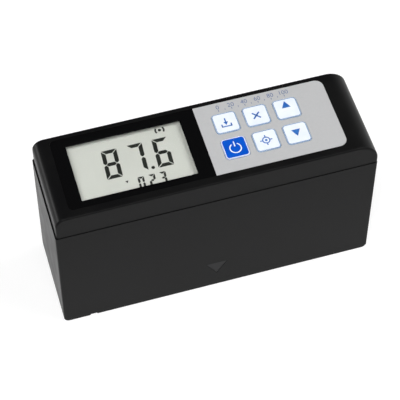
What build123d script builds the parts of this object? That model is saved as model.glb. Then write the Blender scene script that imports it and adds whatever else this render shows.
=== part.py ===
from build123d import *

import math
import os

# Whiteness meter, millimetres, +Z up. +X runs along the length towards the keypad end,
# -Y is the long front face. The origin is the centre of the footprint, on the table.

# Case
case_length = 140.0  # lower case at the parting line
case_depth = 42.9  # lower case, front to back
case_height = 78.0  # table to the top face
cover_height = 12.6  # parting line to the top face
end_flare = 0.8  # how much each end leans out from the parting line to the table
cover_end_step = 0.6  # the cover's left end face stands this far inside the lower case's, at the seam
cover_right_step = 0.1  # and its right one, with the thicker wall, only this far
cover_side_step = 0.25  # the cover is this much slimmer at the front and back
parting_gap = 0.15  # shadow line between the two shells
case_wall = 2.4
roof_thickness = 2.4
floor_thickness = 3.0
left_top_radius = 5.0
right_top_radius = 10.0
bottom_radius = 2.5
edge_radius = 0.8
lip_thickness = 1.1
lip_height = 1.8
fit_gap = 0.1

# Screw columns that join the shells
column_radius = 4.0
column_inset = 3.85  # column centre to the inside of the long wall
middle_column_x = 1.1
right_column_inset = 8.0  # column centre to the right end
column_drop = 3.4  # parting line down to the top of a column
post_radius = 3.5
screw_well_radius = 3.1
screw_shoulder = 3.0
case_screw_radius = 1.5
case_screw_pilot_radius = 1.3
case_screw_hole_radius = 1.6
case_screw_length = 12.0
case_screw_head_radius = 2.75
case_screw_head_height = 2.0
pilot_spare_depth = 1.0

# Hooks that hold the cover's left end
hook_side_gap = 1.7  # hook to the inside of the long wall
hook_width = 5.0
hook_thickness = 1.2
hook_nose = 0.8
hook_nose_height = 1.4
hook_drop = 4.0  # parting line down to the underside of a hook

# Overlay film and display window
overlay_left_border = 6.0  # film edge to the view
overlay_front_border = 3.3
overlay_back_border = 4.4
overlay_end_inset = 12.6  # film edge to the right end of the case
overlay_corner_radius = 3.6  # the film's right corners
overlay_left_radius = 2.0
overlay_thickness = 0.5
overlay_recess = 0.6
view_overhang = 1.9  # the film's edge stands this far over the cover's opening
window_margin = 3.0  # the clear plate reaches this far past the view
window_thickness = 1.0

# Liquid crystal display
lcd_margin = 2.8
lcd_thickness = 2.2
lcd_frame_wall = 1.0
lcd_ledge_width = 1.0
lcd_ledge_height = 1.0
frame_boss_gap = 1.5
frame_post_gap = 0.7
frame_front_gap = 0.8
frame_back_gap = 0.4
zebra_width = 2.0
zebra_end_margin = 3.0

# Main board
board_drop = 7.4  # roof underside to board top
board_thickness = 1.6
board_end_gap = 1.0
board_side_gap = 0.6
board_boss_radius = 2.2
board_boss_inset = 9.05  # left bosses to the inside of the long wall
middle_boss_y = 4.8
board_screw_radius = 1.1
board_screw_pilot_radius = 0.9
board_screw_length = 6.0
board_screw_head_radius = 2.0
board_screw_head_height = 1.2
board_notch_gap = 0.6

# Chips and buzzer under the main board
controller_x = -24.0
controller_size = 10.0
controller_height = 1.4
chip_length = 8.0
chip_width = 5.0
chip_height = 1.6
chip_x = (18.0, 30.0, 42.0)
chip_y = -8.0
buzzer_inset = 12.0  # right board screw to the buzzer's centre
buzzer_y = 2.0
buzzer_radius = 6.0
buzzer_height = 5.0
buzzer_hole_radius = 1.0
buzzer_hole_depth = 2.0

# Keys
key_names = (("store_key", "clear_key", "up_key"), ("power_key", "calibrate_key", "down_key"))
key_size = 10.6
key_corner_radius = 1.7
key_pitch_x = 13.45
key_pitch_y = 13.6
key_post_gap = 0.8  # key flange to the middle posts
key_shift_y = 0.15  # middle of the keys, back from the middle of the film
key_proud = 0.3
key_side_gap = 0.15
key_edge_radius = 0.25
key_flange_size = 12.2
key_flange_height = 1.0
key_rest_gap = 0.05
key_stem_radius = 2.0
key_travel = 0.5

# Push switches under the keys
switch_size = 6.2
switch_height = 3.5
plunger_radius = 1.75
plunger_gap = 0.08
plunger_rise = 1.3
plunger_buried = 1.5
plunger_bottom_gap = 0.3

# Measuring head
port_x = -0.6
plate_thickness = 1.5
plate_half_length = 30.0
plate_well_gap = 1.1  # aperture plate to the screw wells
plate_corner_radius = 3.0
nose_wall = 2.6  # port to the outside of the nose
nose_inset = 0.2
head_column_gap = 0.4
flange_height = 3.0
head_foot_half_length = 23.5
tower_half_length = 8.0
tower_top = 38.0
lamp_face_distance = 26.0  # port centre to the slanted lamp faces
lamp_angle = 45.0
chamber_top = 14.0
sight_radius = 4.0
barrel_radius = 5.0
barrel_bottom = 20.0
head_screw_end_inset = 3.0
head_screw_side_inset = 3.4
head_screw_radius = 1.25
head_screw_pilot_radius = 1.05
head_screw_hole_radius = 1.4
head_screw_head_radius = 2.4
head_screw_head_height = 1.1
head_screw_sink = 0.1
head_screw_length = 5.6

# Optics and electronics on the head
lens_rim_height = 1.5
lens_dome_radius = 9.0
optic_gap = 0.05
ring_bore_radius = 3.6
ring_height = 1.8
filter_thickness = 2.0
photodiode_radius = 4.1
photodiode_height = 4.0
sensor_board_half_length = 13.0
small_board_thickness = 1.6
sensor_screw_x = 6.2
sensor_screw_y = 4.0
lamp_radius = 2.5
lamp_length = 8.6
lamp_flange_radius = 2.9
lamp_flange_height = 1.0
lamp_bore_gap = 0.1
lamp_board_length = 13.0
lamp_board_width = 12.0
lamp_board_thickness = 1.2
flex_offset = 10.2
flex_thickness = 0.4
flex_width = 5.0
connector_length = 8.0
connector_width = 5.0
connector_height = 4.0
ribbon_width = 6.5
ribbon_thickness = 1.0

# Batteries
cell_radius = 5.25
cell_length = 44.5
cell_button_radius = 1.9
cell_button_height = 1.0
cell_pitch = 10.7
box_side_gap = 0.2
box_end_gap = 0.15  # box to the inside of the left end wall
box_wall = 1.0
box_roof = 1.0
box_flange_height = 1.2
box_flange_gap = 0.3
contact_thickness = 0.4
contact_width = 7.0
contact_inset = 1.6
spring_radius = 3.0
spring_wire_radius = 0.3
spring_height = 3.0
spring_gap = 0.1
spring_turns = 3
terminal_width = 2.0
terminal_rise = 0.6
lead_radius = 0.6
box_screw_x = 8.0
box_screw_inset = 1.85  # screw to the inside of the back wall
box_screw_radius = 1.0
box_screw_pilot_radius = 0.85
box_screw_length = 3.6
box_screw_head_radius = 1.7
box_screw_head_height = 1.0

# Battery door and the nail notch in the front rim
door_thickness = 2.6
door_margin = 0.25  # door past the cells' space, at each end
door_gap = 0.15
door_inset = 4.6  # door to the front of the case
hinge_inset = 7.45  # hinge line to the back of the case
pivot_radius = 0.8
pivot_gap = 0.05
pivot_length = 1.5
pivot_end_gap = 0.2
notch_offset = 1.6  # notch to the left of the cells' middle
notch_width = 3.9
notch_top_width = 2.7
notch_height = 1.3

# Position arrow on the front face
arrow_half_width = 4.8
arrow_base_z = 17.9
arrow_tip_z = 9.8
arrow_depth = 0.15

# Data jack in the right end
jack_z = 40.0
jack_bore_radius = 1.8
jack_bore_depth = 13.0
jack_nose_radius = 3.0
jack_nose_gap = 0.1
jack_body_length = 11.4
jack_body_depth = 9.0
jack_body_height = 7.0
jack_nut_radius = 4.3
jack_nut_height = 0.9
jack_recess_radius = 4.6
jack_lead_radius = 0.5
jack_lead_pitch = 2.0
jack_lead_inset = 1.5

# Heights and half sizes worked out from the values above
seam_z = case_height - cover_height
half_length = case_length / 2
half_depth = case_depth / 2
cover_half_length = half_length - cover_end_step
cover_right_reach = half_length - cover_right_step
cover_half_depth = half_depth - cover_side_step
roof_under = case_height - roof_thickness
inner_half_length = half_length - case_wall
inner_half_depth = half_depth - case_wall
board_half_length = cover_half_length - case_wall - board_end_gap
board_half_depth = cover_half_depth - case_wall - board_side_gap
overlay_bottom = case_height - overlay_recess
overlay_top = overlay_bottom + overlay_thickness
board_top = roof_under - board_drop
board_under = board_top - board_thickness
column_top = seam_z - column_drop
shoulder_under = column_top - screw_shoulder
head_seat = floor_thickness
cell_bottom = door_thickness + contact_thickness + spring_height + spring_gap
cell_top = cell_bottom + cell_length
box_roof_under = cell_top + contact_thickness
box_top = box_roof_under + box_roof
box_inner_half = cell_pitch / 2 + cell_radius + box_side_gap
box_outer_half = box_inner_half + box_wall
battery_x = box_outer_half + box_end_gap + case_wall - half_length - end_flare * (seam_z - box_top) / seam_z
hinge_y = half_depth - hinge_inset
hinge_z = door_thickness / 2
door_front = door_inset - half_depth
door_half_length = box_inner_half + door_margin
notch_x = battery_x - notch_offset

# Places worked out from the walls and the columns
column_y = inner_half_depth - column_inset
right_column_x = half_length - right_column_inset
hook_y = inner_half_depth - hook_side_gap - hook_width / 2
head_half_depth = column_y - column_radius - head_column_gap
nose_radius = head_half_depth - nose_inset
port_radius = nose_radius - nose_wall
plate_half_depth = column_y - screw_well_radius - plate_well_gap
head_screw_x = plate_half_length - head_screw_end_inset
head_screw_y = plate_half_depth - head_screw_side_inset
box_screw_y = inner_half_depth - box_screw_inset
left_boss_x = board_boss_radius - board_half_length
left_boss_y = inner_half_depth - board_boss_inset
frame_border = lcd_margin + fit_gap + lcd_frame_wall
window_left = left_boss_x + board_boss_radius + frame_boss_gap + frame_border
window_right = middle_column_x - post_radius - frame_post_gap - frame_border
window_front = frame_front_gap + frame_border + case_wall - cover_half_depth
window_back = cover_half_depth - case_wall - frame_border - frame_back_gap
overlay_left = window_left - overlay_left_border
overlay_right = half_length - overlay_end_inset
overlay_front = window_front - overlay_front_border
overlay_back = window_back + overlay_back_border
key_first_x = middle_column_x + post_radius + key_post_gap + key_flange_size / 2
key_back_y = (overlay_front + overlay_back + (len(key_names) - 1) * key_pitch_y) / 2 + key_shift_y
buzzer_x = right_column_x - buzzer_inset
board_boss_spots = [(left_boss_x, -left_boss_y), (left_boss_x, left_boss_y),
                    (middle_column_x, middle_boss_y), (right_column_x, 0)]
sensor_screw_spots = [(port_x + side * sensor_screw_x, side * sensor_screw_y) for side in (-1, 1)]
column_spots = [(x, side * column_y) for x in (middle_column_x, right_column_x) for side in (-1, 1)]
head_screw_spots = [(port_x + i * head_screw_x, j * head_screw_y) for i in (-1, 1) for j in (-1, 1)]
cell_spots = [(battery_x + i * cell_pitch / 2, j * cell_pitch / 2) for i in (-1, 1) for j in (-1, 1)]
box_screw_spots = [(battery_x + side * box_screw_x, box_screw_y) for side in (-1, 1)]


def end_x(z):
    """Distance of the lower case's flared end face from the centre, at height z."""
    return half_length + end_flare * (seam_z - z) / seam_z


def block(x0, x1, y0, y1, z0, z1):
    """A box between two corners."""
    middle = Pos((x0 + x1) / 2, (y0 + y1) / 2, (z0 + z1) / 2)
    return middle * Box(x1 - x0, y1 - y0, z1 - z0)


def disc(x, y, z0, z1, radius):
    """An upright cylinder from z0 to z1."""
    return Pos(x, y, (z0 + z1) / 2) * Cylinder(radius, z1 - z0)


def rod_x(x0, x1, y, z, radius):
    """A cylinder along X from x0 to x1."""
    return Pos((x0 + x1) / 2, y, z) * Rot(0, 90, 0) * Cylinder(radius, x1 - x0)


def plate(x0, x1, y0, y1, z0, z1, radius):
    """A flat plate with rounded corners."""
    outline = Pos((x0 + x1) / 2, (y0 + y1) / 2, z0) * RectangleRounded(x1 - x0, y1 - y0, radius)
    return extrude(outline, amount=z1 - z0)


def prism(points, half_width, radii=None):
    """A solid of an X-Z outline, along Y. radii maps a point's index to its corner radius."""
    face = make_face(Polyline(*points, close=True))
    for index, radius in (radii or {}).items():
        corner = face.vertices().sort_by_distance(Vector(*points[index]))[0]
        face = fillet(corner, radius)
    return Rot(90, 0, 0) * extrude(face, amount=half_width, both=True)


def soften_side_edges(solid, half_width, keep_z):
    """Rounds the edges round the front and back faces, but not those at keep_z."""
    edges = solid.edges().filter_by(lambda e: math.isclose(abs(e.center().Y), half_width))
    edges = edges.filter_by(lambda e: not math.isclose(e.center().Z, keep_z))
    return fillet(edges, edge_radius)


def screw(x, y, seat_z, radius, length, head_radius, head_height):
    """A pan head screw. Its head lies under seat_z and its shank points up."""
    shank = disc(x, y, seat_z, seat_z + length, radius)
    head = disc(x, y, seat_z - head_height, seat_z, head_radius)
    slot_width = head_radius / 4
    slot_depth = head_height / 2
    slot = block(x - head_radius, x + head_radius, y - slot_width / 2, y + slot_width / 2,
                 seat_z - head_height, seat_z - head_height + slot_depth)
    return head - slot + shank


def group(solids):
    """Several separate solids as one node."""
    return Compound(children=list(solids))


def lower_case():
    outer = prism(
        [(-end_x(0), 0), (end_x(0), 0), (half_length, seam_z), (-half_length, seam_z)],
        half_depth,
        {0: bottom_radius, 1: bottom_radius},
    )
    outer = soften_side_edges(outer, half_depth, seam_z)
    inner_end = end_x(floor_thickness) - case_wall
    cavity = prism(
        [(-inner_end, floor_thickness), (inner_end, floor_thickness),
         (inner_half_length, seam_z), (-inner_half_length, seam_z)],
        inner_half_depth,
    )
    lip = block(-inner_half_length - lip_thickness, inner_half_length + lip_thickness,
                -inner_half_depth - lip_thickness, inner_half_depth + lip_thickness,
                seam_z - lip_height, seam_z + lip_height)
    lip -= block(-inner_half_length, inner_half_length, -inner_half_depth, inner_half_depth,
                 seam_z - lip_height, seam_z + lip_height)
    case = outer - cavity + lip
    for x, y in column_spots:
        wall_y = math.copysign(inner_half_depth + case_wall / 2, y)
        column = disc(x, y, floor_thickness / 2, column_top, column_radius)
        web = block(x - column_radius / 2, x + column_radius / 2, min(y, wall_y), max(y, wall_y),
                    floor_thickness / 2, column_top)
        case += column + web
    for x, y in column_spots:
        case -= disc(x, y, 0, shoulder_under, screw_well_radius)
        case -= disc(x, y, shoulder_under, column_top, case_screw_hole_radius)
    case -= plate(port_x - plate_half_length - fit_gap, port_x + plate_half_length + fit_gap,
                  -plate_half_depth - fit_gap, plate_half_depth + fit_gap,
                  0, plate_thickness, plate_corner_radius + fit_gap)
    case -= disc(port_x, 0, 0, floor_thickness, nose_radius + fit_gap)
    for x, y in head_screw_spots:
        case -= disc(x, y, 0, floor_thickness, head_screw_hole_radius)
    for x, y in box_screw_spots:
        pilot_depth = box_screw_length - box_flange_height
        case -= disc(x, y, floor_thickness - pilot_depth, floor_thickness, box_screw_pilot_radius)
    for side in (-1, 1):
        case -= hook_shape(side, inner_half_length + hook_nose + fit_gap, fit_gap)
    case -= door_opening()
    case -= nail_notch()
    case -= arrow_pocket()
    recess_floor = end_x(jack_z) - jack_nut_height - fit_gap
    case -= rod_x(inner_half_length - case_wall, end_x(0), 0, jack_z, jack_nose_radius + jack_nose_gap)
    case -= rod_x(recess_floor, end_x(0), 0, jack_z, jack_recess_radius)
    return case


def door_opening():
    half = door_half_length + door_gap
    back = hinge_y + hinge_z + door_gap
    opening = block(battery_x - half, battery_x + half, door_front - door_gap, back, 0, floor_thickness)
    reach = half + pivot_length + pivot_end_gap
    pivots = rod_x(battery_x - reach, battery_x + reach, hinge_y, hinge_z, pivot_radius + pivot_gap)
    return opening + pivots


def nail_notch():
    low = notch_width / 2
    high = notch_top_width / 2
    outline = [(notch_x - low, 0), (notch_x + low, 0),
               (notch_x + high, notch_height), (notch_x - high, notch_height)]
    depth = half_depth + door_front
    return Pos(0, (door_front - half_depth) / 2, 0) * prism(outline, depth / 2 + door_gap)


def arrow_pocket():
    outline = [(port_x - arrow_half_width, arrow_base_z), (port_x + arrow_half_width, arrow_base_z),
               (port_x, arrow_tip_z)]
    return Pos(0, -half_depth, 0) * prism(outline, arrow_depth)


def hook_shape(side, reach, gap):
    """The outward nose of a cover hook at the left end, grown by a gap."""
    low = seam_z - hook_drop
    y = side * hook_y
    half = hook_width / 2 + gap
    return block(-reach, fit_gap - inner_half_length, y - half, y + half,
                 low - gap, low + hook_nose_height + gap)


def cover_hook(side):
    low = seam_z - hook_drop
    y = side * hook_y
    outer_x = fit_gap - inner_half_length
    stem = block(outer_x, outer_x + hook_thickness, y - hook_width / 2, y + hook_width / 2,
                 low, seam_z + lip_height + hook_thickness)
    return stem + hook_shape(side, inner_half_length + hook_nose, 0)


def cover_blank(low):
    """The cover's outside, from a height up."""
    return prism(
        [(-cover_half_length, low), (cover_right_reach, low),
         (cover_right_reach, case_height), (-cover_half_length, case_height)],
        cover_half_depth,
        {2: right_top_radius, 3: left_top_radius},
    )


def top_cover():
    skirt = seam_z + parting_gap
    outer = soften_side_edges(cover_blank(skirt), cover_half_depth, skirt)
    limit = cover_blank(column_top)
    inner_end = cover_half_length - case_wall
    cavity = prism(
        [(-inner_end, skirt), (inner_end, skirt), (inner_end, roof_under), (-inner_end, roof_under)],
        cover_half_depth - case_wall,
        {2: right_top_radius - case_wall, 3: left_top_radius - case_wall},
    )
    rebate_x = inner_half_length + lip_thickness + fit_gap
    rebate_y = inner_half_depth + lip_thickness + fit_gap
    rebate = block(-rebate_x, rebate_x, -rebate_y, rebate_y, skirt, seam_z + lip_height)
    cover = outer - cavity - rebate
    for x, y in column_spots:
        cover += disc(x, y, column_top, roof_under + roof_thickness / 4, post_radius) & limit
    for x, y in board_boss_spots:
        cover += disc(x, y, board_top, roof_under + roof_thickness / 4, board_boss_radius) & limit
    for side in (-1, 1):
        cover += cover_hook(side)
    for x, y in column_spots:
        pilot_top = shoulder_under + case_screw_length + pilot_spare_depth
        cover -= disc(x, y, column_top, pilot_top, case_screw_pilot_radius)
    for x, y in board_boss_spots:
        pilot_top = board_under + board_screw_length + pilot_spare_depth / 2
        cover -= disc(x, y, board_top, pilot_top, board_screw_pilot_radius)
    cover -= film_plate(fit_gap, overlay_bottom, case_height)
    cover -= block(window_left - window_margin - fit_gap, window_right + window_margin + fit_gap,
                   window_front - window_margin - fit_gap, window_back + window_margin + fit_gap,
                   overlay_bottom - window_thickness, overlay_bottom)
    cover -= block(window_left - view_overhang, window_right + view_overhang,
                   window_front - view_overhang, window_back + view_overhang, roof_under, overlay_bottom)
    for x, y in key_spots().values():
        cover -= key_prism(x, y, roof_under, overlay_bottom, key_side_gap)
    return cover


def key_spots():
    spots = {}
    for row, names in enumerate(key_names):
        for column, name in enumerate(names):
            spots[name] = (key_first_x + column * key_pitch_x, key_back_y - row * key_pitch_y)
    return spots


def key_prism(x, y, z0, z1, gap):
    """The rounded square column of a key, grown by a gap on each side."""
    half = key_size / 2 + gap
    return plate(x - half, x + half, y - half, y + half, z0, z1, key_corner_radius + gap)


def film_plate(growth, z0, z1):
    """The film's outline, grown on each side. Its left corners are smaller than its right ones."""
    front = overlay_front - growth
    back = overlay_back + growth
    left_part = plate(overlay_left - growth, overlay_right - overlay_corner_radius, front, back,
                      z0, z1, overlay_left_radius + growth)
    right_part = plate(overlay_left + overlay_left_radius, overlay_right + growth, front, back,
                       z0, z1, overlay_corner_radius + growth)
    return left_part + right_part


def front_overlay():
    film = film_plate(0, overlay_bottom, overlay_top)
    film -= block(window_left, window_right, window_front, window_back, overlay_bottom, overlay_top)
    for x, y in key_spots().values():
        film -= key_prism(x, y, overlay_bottom, overlay_top, key_side_gap)
    return film


def display_window():
    return block(window_left - window_margin, window_right + window_margin,
                 window_front - window_margin, window_back + window_margin,
                 overlay_bottom - window_thickness, overlay_bottom)


def lcd_block(margin, z0, z1):
    """A block round the view, grown by a margin on each side."""
    return block(window_left - margin, window_right + margin,
                 window_front - margin, window_back + margin, z0, z1)


def lcd_glass():
    return lcd_block(lcd_margin, roof_under - lcd_thickness, roof_under)


def lcd_frame():
    ledge_top = roof_under - lcd_thickness
    frame = lcd_block(lcd_margin + fit_gap + lcd_frame_wall, board_top, roof_under - fit_gap)
    frame -= lcd_block(lcd_margin + fit_gap, ledge_top, roof_under)
    frame -= lcd_block(lcd_margin + fit_gap, board_top, ledge_top - lcd_ledge_height)
    frame -= lcd_block(lcd_margin - lcd_ledge_width, board_top, ledge_top)
    return frame


def zebra_strips():
    reach = lcd_margin - lcd_ledge_width
    x0 = window_left + zebra_end_margin
    x1 = window_right - zebra_end_margin
    z1 = roof_under - lcd_thickness
    front = block(x0, x1, window_front - reach, window_front - reach + zebra_width, board_top, z1)
    back = block(x0, x1, window_back + reach - zebra_width, window_back + reach, board_top, z1)
    return group([front, back])


def main_board():
    board = block(-board_half_length, board_half_length, -board_half_depth, board_half_depth,
                  board_under, board_top)
    for spot_x, spot_y in column_spots:
        board -= disc(spot_x, spot_y, board_under, board_top, post_radius + board_notch_gap)
        edge_y = math.copysign(half_depth, spot_y)
        board -= block(spot_x - post_radius - board_notch_gap, spot_x + post_radius + board_notch_gap,
                       min(spot_y, edge_y), max(spot_y, edge_y), board_under, board_top)
    for spot_x, spot_y in board_boss_spots:
        board -= disc(spot_x, spot_y, board_under, board_top, board_screw_radius + fit_gap)
    return board


def board_screws():
    return group(screw(x, y, board_under, board_screw_radius, board_screw_length,
                       board_screw_head_radius, board_screw_head_height) for x, y in board_boss_spots)


def case_screws():
    return group(screw(x, y, shoulder_under, case_screw_radius, case_screw_length,
                       case_screw_head_radius, case_screw_head_height) for x, y in column_spots)


def microcontroller():
    half = controller_size / 2
    return block(controller_x - half, controller_x + half, -half, half,
                 board_under - controller_height, board_under)


def board_chips():
    low = chip_y - chip_width / 2
    return group(block(x - chip_length / 2, x + chip_length / 2, low, low + chip_width,
                       board_under - chip_height, board_under) for x in chip_x)


def buzzer():
    body = disc(buzzer_x, buzzer_y, board_under - buzzer_height, board_under, buzzer_radius)
    floor_z = board_under - buzzer_height
    return body - disc(buzzer_x, buzzer_y, floor_z, floor_z + buzzer_hole_depth, buzzer_hole_radius)


def push_switches():
    solids = []
    half = switch_size / 2
    top = board_top + switch_height
    for x, y in key_spots().values():
        body = block(x - half, x + half, y - half, y + half, board_top, top)
        depth = plunger_buried + key_travel + plunger_bottom_gap
        solids.append(body - disc(x, y, top - depth, top, plunger_radius + plunger_gap))
    return group(solids)


def key_plunger(x, y):
    top = board_top + switch_height
    return disc(x, y, top - plunger_buried, top + plunger_rise, plunger_radius)


def key_cap(x, y):
    top = overlay_top + key_proud
    flange_top = roof_under - key_rest_gap
    flange_under = flange_top - key_flange_height
    half = key_flange_size / 2
    cap = key_prism(x, y, flange_under, top, 0)
    cap = fillet(cap.edges().group_by(Axis.Z)[-1], key_edge_radius)
    cap += block(x - half, x + half, y - half, y + half, flange_under, flange_top)
    plunger_top = board_top + switch_height + plunger_rise
    return cap + disc(x, y, plunger_top, flange_under, key_stem_radius)


def aperture_plate():
    plate_solid = plate(port_x - plate_half_length, port_x + plate_half_length, -plate_half_depth,
                        plate_half_depth, 0, plate_thickness, plate_corner_radius)
    plate_solid -= disc(port_x, 0, 0, plate_thickness, port_radius)
    for x, y in head_screw_spots:
        plate_solid -= disc(x, y, 0, plate_thickness, head_screw_hole_radius)
        plate_solid -= countersink(x, y, fit_gap)
    return plate_solid


def countersink(x, y, gap):
    """The cone of a flush head screw, grown by a gap."""
    top = head_screw_sink + head_screw_head_height
    cone = Cone(head_screw_head_radius + gap, head_screw_radius + gap, head_screw_head_height)
    mouth = disc(x, y, 0, head_screw_sink, head_screw_head_radius + gap)
    return Pos(x, y, top - head_screw_head_height / 2) * cone + mouth


def plate_screws():
    solids = []
    top = head_screw_sink + head_screw_head_height
    for x, y in head_screw_spots:
        cone = Cone(head_screw_head_radius, head_screw_radius, head_screw_head_height)
        head = Pos(x, y, top - head_screw_head_height / 2) * cone
        solids.append(head + disc(x, y, top, head_screw_length, head_screw_radius))
    return group(solids)


def lamp_frame(side, distance):
    """Where a lamp axis passes a distance from the port centre, with local +Z pointing outwards."""
    angle = math.radians(lamp_angle)
    place = Pos(port_x + side * distance * math.sin(angle), 0, distance * math.cos(angle))
    return place * Rot(0, side * lamp_angle, 0)


def optical_head():
    angle = math.radians(lamp_angle)
    slope = math.tan(angle)
    crest = lamp_face_distance / math.cos(angle)
    shoulder_z = crest - tower_half_length * slope
    foot_z = crest - head_foot_half_length * slope
    right = [(head_foot_half_length, head_seat), (head_foot_half_length, foot_z),
             (tower_half_length, shoulder_z), (tower_half_length, tower_top)]
    left = [(-x, z) for x, z in reversed(right)]
    head = Pos(port_x, 0, 0) * prism(right + left, head_half_depth)
    head += block(port_x - plate_half_length, port_x + plate_half_length, -head_half_depth, head_half_depth,
                  head_seat, head_seat + flange_height)
    head += disc(port_x, 0, plate_thickness, head_seat + flange_height / 2, nose_radius)
    head -= disc(port_x, 0, plate_thickness, chamber_top, port_radius)
    head -= disc(port_x, 0, chamber_top, barrel_bottom, sight_radius)
    head -= disc(port_x, 0, barrel_bottom, tower_top, barrel_radius)
    for side in (-1, 1):
        bore_length = lamp_face_distance - port_radius
        middle = lamp_face_distance - bore_length / 2
        head -= lamp_frame(side, middle) * Cylinder(lamp_radius + lamp_bore_gap, bore_length)
        seat = lamp_face_distance - lamp_flange_height / 2
        head -= lamp_frame(side, seat) * Cylinder(lamp_flange_radius + lamp_bore_gap, lamp_flange_height)
    for x, y in sensor_screw_spots:
        head -= disc(x, y, tower_top - board_screw_length, tower_top, board_screw_pilot_radius)
    for x, y in head_screw_spots:
        head -= disc(x, y, head_seat, head_seat + flange_height, head_screw_pilot_radius)
    return head


def lens():
    radius = barrel_radius - optic_gap
    rim = disc(port_x, 0, barrel_bottom, barrel_bottom + lens_rim_height, radius)
    drop = math.sqrt(lens_dome_radius ** 2 - ring_bore_radius ** 2)
    ball = Pos(port_x, 0, barrel_bottom + lens_rim_height - drop) * Sphere(lens_dome_radius)
    low = barrel_bottom + lens_rim_height / 2
    column = disc(port_x, 0, low, barrel_bottom + lens_dome_radius, ring_bore_radius)
    return rim + (ball & column)


def optic_ring(z):
    ring = disc(port_x, 0, z, z + ring_height, barrel_radius - optic_gap)
    return ring - disc(port_x, 0, z, z + ring_height, ring_bore_radius)


def retaining_rings():
    low = barrel_bottom + lens_rim_height
    return group([optic_ring(low), optic_ring(low + ring_height + filter_thickness)])


def blue_filter():
    z = barrel_bottom + lens_rim_height + ring_height
    return disc(port_x, 0, z, z + filter_thickness, barrel_radius - optic_gap)


def photodiode():
    return disc(port_x, 0, tower_top - photodiode_height, tower_top, photodiode_radius)


def sensor_board():
    board = block(port_x - sensor_board_half_length, port_x + sensor_board_half_length,
                  -head_half_depth, head_half_depth, tower_top, tower_top + small_board_thickness)
    for x, y in sensor_screw_spots:
        board -= disc(x, y, tower_top, tower_top + small_board_thickness, board_screw_radius + fit_gap)
    return board


def sensor_screws():
    top = tower_top + small_board_thickness
    flip = Rot(180, 0, 0)
    upright = screw(0, 0, 0, board_screw_radius, board_screw_length - pilot_spare_depth / 2,
                    board_screw_head_radius, board_screw_head_height)
    return group(Pos(x, y, top) * flip * upright for x, y in sensor_screw_spots)


def lamps():
    solids = []
    dome_start = lamp_face_distance - lamp_length + lamp_radius
    for side in (-1, 1):
        length = lamp_face_distance - dome_start
        body = lamp_frame(side, dome_start + length / 2) * Cylinder(lamp_radius, length)
        body += lamp_frame(side, dome_start) * Sphere(lamp_radius)
        flange_middle = lamp_face_distance - lamp_flange_height / 2
        body += lamp_frame(side, flange_middle) * Cylinder(lamp_flange_radius, lamp_flange_height)
        solids.append(body)
    return group(solids)


def lamp_boards():
    middle = lamp_face_distance + lamp_board_thickness / 2
    return group(lamp_frame(side, middle) * Box(lamp_board_length, lamp_board_width, lamp_board_thickness)
                 for side in (-1, 1))


def lamp_flexes():
    """Upright strips from the lamp boards to the underside of the sensor board."""
    angle = math.radians(lamp_angle)
    crest = (lamp_face_distance + lamp_board_thickness) / math.cos(angle)
    inner = flex_offset - flex_thickness / 2
    outer = flex_offset + flex_thickness / 2
    slope = math.tan(angle)
    solids = []
    for side in (-1, 1):
        low = [(side * x, crest - x * slope) for x in (inner, outer)]
        high = [(side * x, tower_top) for x in (outer, inner)]
        solids.append(Pos(port_x, 0, 0) * prism(low + high, flex_width / 2))
    return group(solids)


def connector(z):
    return block(port_x - connector_length / 2, port_x + connector_length / 2, -connector_width / 2,
                 connector_width / 2, z, z + connector_height)


def ribbon_connectors():
    return group([connector(tower_top + small_board_thickness), connector(board_under - connector_height)])


def ribbon_cable():
    low = tower_top + small_board_thickness + connector_height
    return block(port_x - ribbon_width / 2, port_x + ribbon_width / 2, -ribbon_thickness / 2,
                 ribbon_thickness / 2, low, board_under - connector_height)


def battery_box():
    outer = block(battery_x - box_outer_half, battery_x + box_outer_half, -box_outer_half, box_outer_half,
                  floor_thickness, box_top)
    flange_y = inner_half_depth - box_flange_gap
    outer += block(battery_x - box_outer_half, battery_x + box_outer_half, -flange_y, flange_y,
                   floor_thickness, floor_thickness + box_flange_height)
    box = outer - block(battery_x - box_inner_half, battery_x + box_inner_half, -box_inner_half,
                        box_inner_half, floor_thickness, box_roof_under)
    for x, y in terminal_spots():
        box -= block(x - terminal_width / 2 - fit_gap, x + terminal_width / 2 + fit_gap,
                     y - contact_thickness / 2 - fit_gap, y + contact_thickness / 2 + fit_gap,
                     box_roof_under, box_top)
    for x, y in box_screw_spots:
        box -= disc(x, y, floor_thickness, floor_thickness + box_flange_height, box_screw_radius + fit_gap)
    return box


def box_screws():
    upright = screw(0, 0, 0, box_screw_radius, box_screw_length,
                    box_screw_head_radius, box_screw_head_height)
    seat = floor_thickness + box_flange_height
    return group(Pos(x, y, seat) * Rot(180, 0, 0) * upright for x, y in box_screw_spots)


def terminal_spots():
    return [(battery_x + cell_pitch / 2, side * cell_pitch / 2) for side in (-1, 1)]


def battery_contacts():
    """One bridge and two end contacts under the box roof. The end contacts have tabs through the roof."""
    x0 = battery_x - cell_pitch / 2
    reach = box_inner_half - contact_inset
    bridge = block(x0 - contact_width / 2, x0 + contact_width / 2, -reach, reach, cell_top, box_roof_under)
    solids = [bridge]
    for x, y in terminal_spots():
        half = contact_width / 2
        pad = block(x - half, x + half, y - half, y + half, cell_top, box_roof_under)
        tab = block(x - terminal_width / 2, x + terminal_width / 2, y - contact_thickness / 2,
                    y + contact_thickness / 2, cell_top, box_top + terminal_rise)
        solids.append(pad + tab)
    return group(solids)


def battery_leads():
    return group(disc(x, y, box_top + terminal_rise, board_under, lead_radius) for x, y in terminal_spots())


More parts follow.
